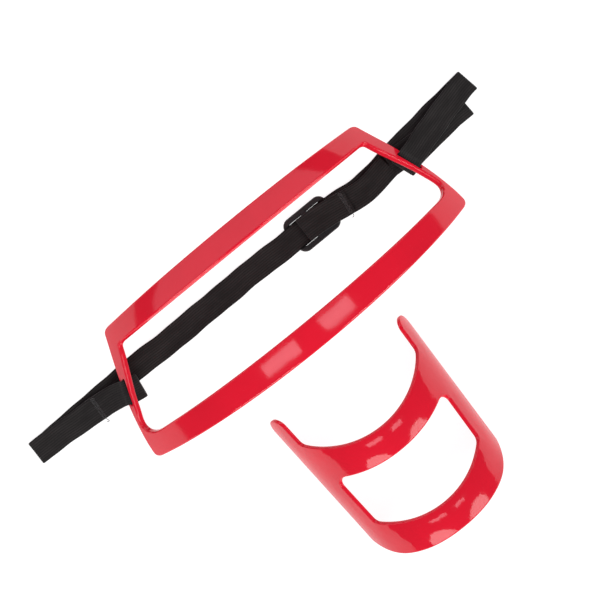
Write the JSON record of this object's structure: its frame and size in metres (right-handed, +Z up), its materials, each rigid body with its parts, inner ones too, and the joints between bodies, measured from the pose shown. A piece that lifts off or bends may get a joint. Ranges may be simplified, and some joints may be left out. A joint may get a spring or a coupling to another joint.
{
  "type": "strapped guard frame with saddle guard",
  "caption": "Arched moulded guard frame on an adjustable elastic strap, with a separate saddle-shaped guard shell lying beside it.",
  "frame": {"origin": "middle of the laid-out set, on the floor", "axes": "+X along the strap, +Y from the saddle guard towards the frame, +Z up"},
  "size_m": [0.3367, 0.2261, 0.0712],
  "materials": {
    "red_shell": "gloss, injection moulded",
    "black_slider": "satin",
    "black_elastic": "ribbed woven elastic",
    "black_thread": "sewing thread"
  },
  "bodies": {
    "strap_frame_set": {"strap_frame": "red_shell", "left_bartack": "black_thread", "elastic_left_loop": "black_elastic", "elastic_left_fold": "black_elastic", "elastic_centre_run": "black_elastic", "elastic_right_fold": "black_elastic", "elastic_right_slot": "black_elastic", "elastic_right_top": "black_elastic", "elastic_right_return": "black_elastic", "elastic_return_layer": "black_elastic"},
    "slider": {"strap_slider": "black_slider", "elastic_slider_loop": "black_elastic", "slider_bartack": "black_thread"},
    "saddle": {"saddle_guard": "red_shell"}
  },
  "joints": [
    {"name": "slider_travel", "type": "slide", "parent": "strap_frame_set", "child": "slider", "axis": [1, 0, 0], "range_m": [-0.1, 0.006], "deforming": ["elastic_return_layer"]},
    {"name": "saddle_lift", "type": "slide", "parent": "strap_frame_set", "child": "saddle", "axis": [0, 0, 1], "range_m": [0, 0.09]}
  ]
}
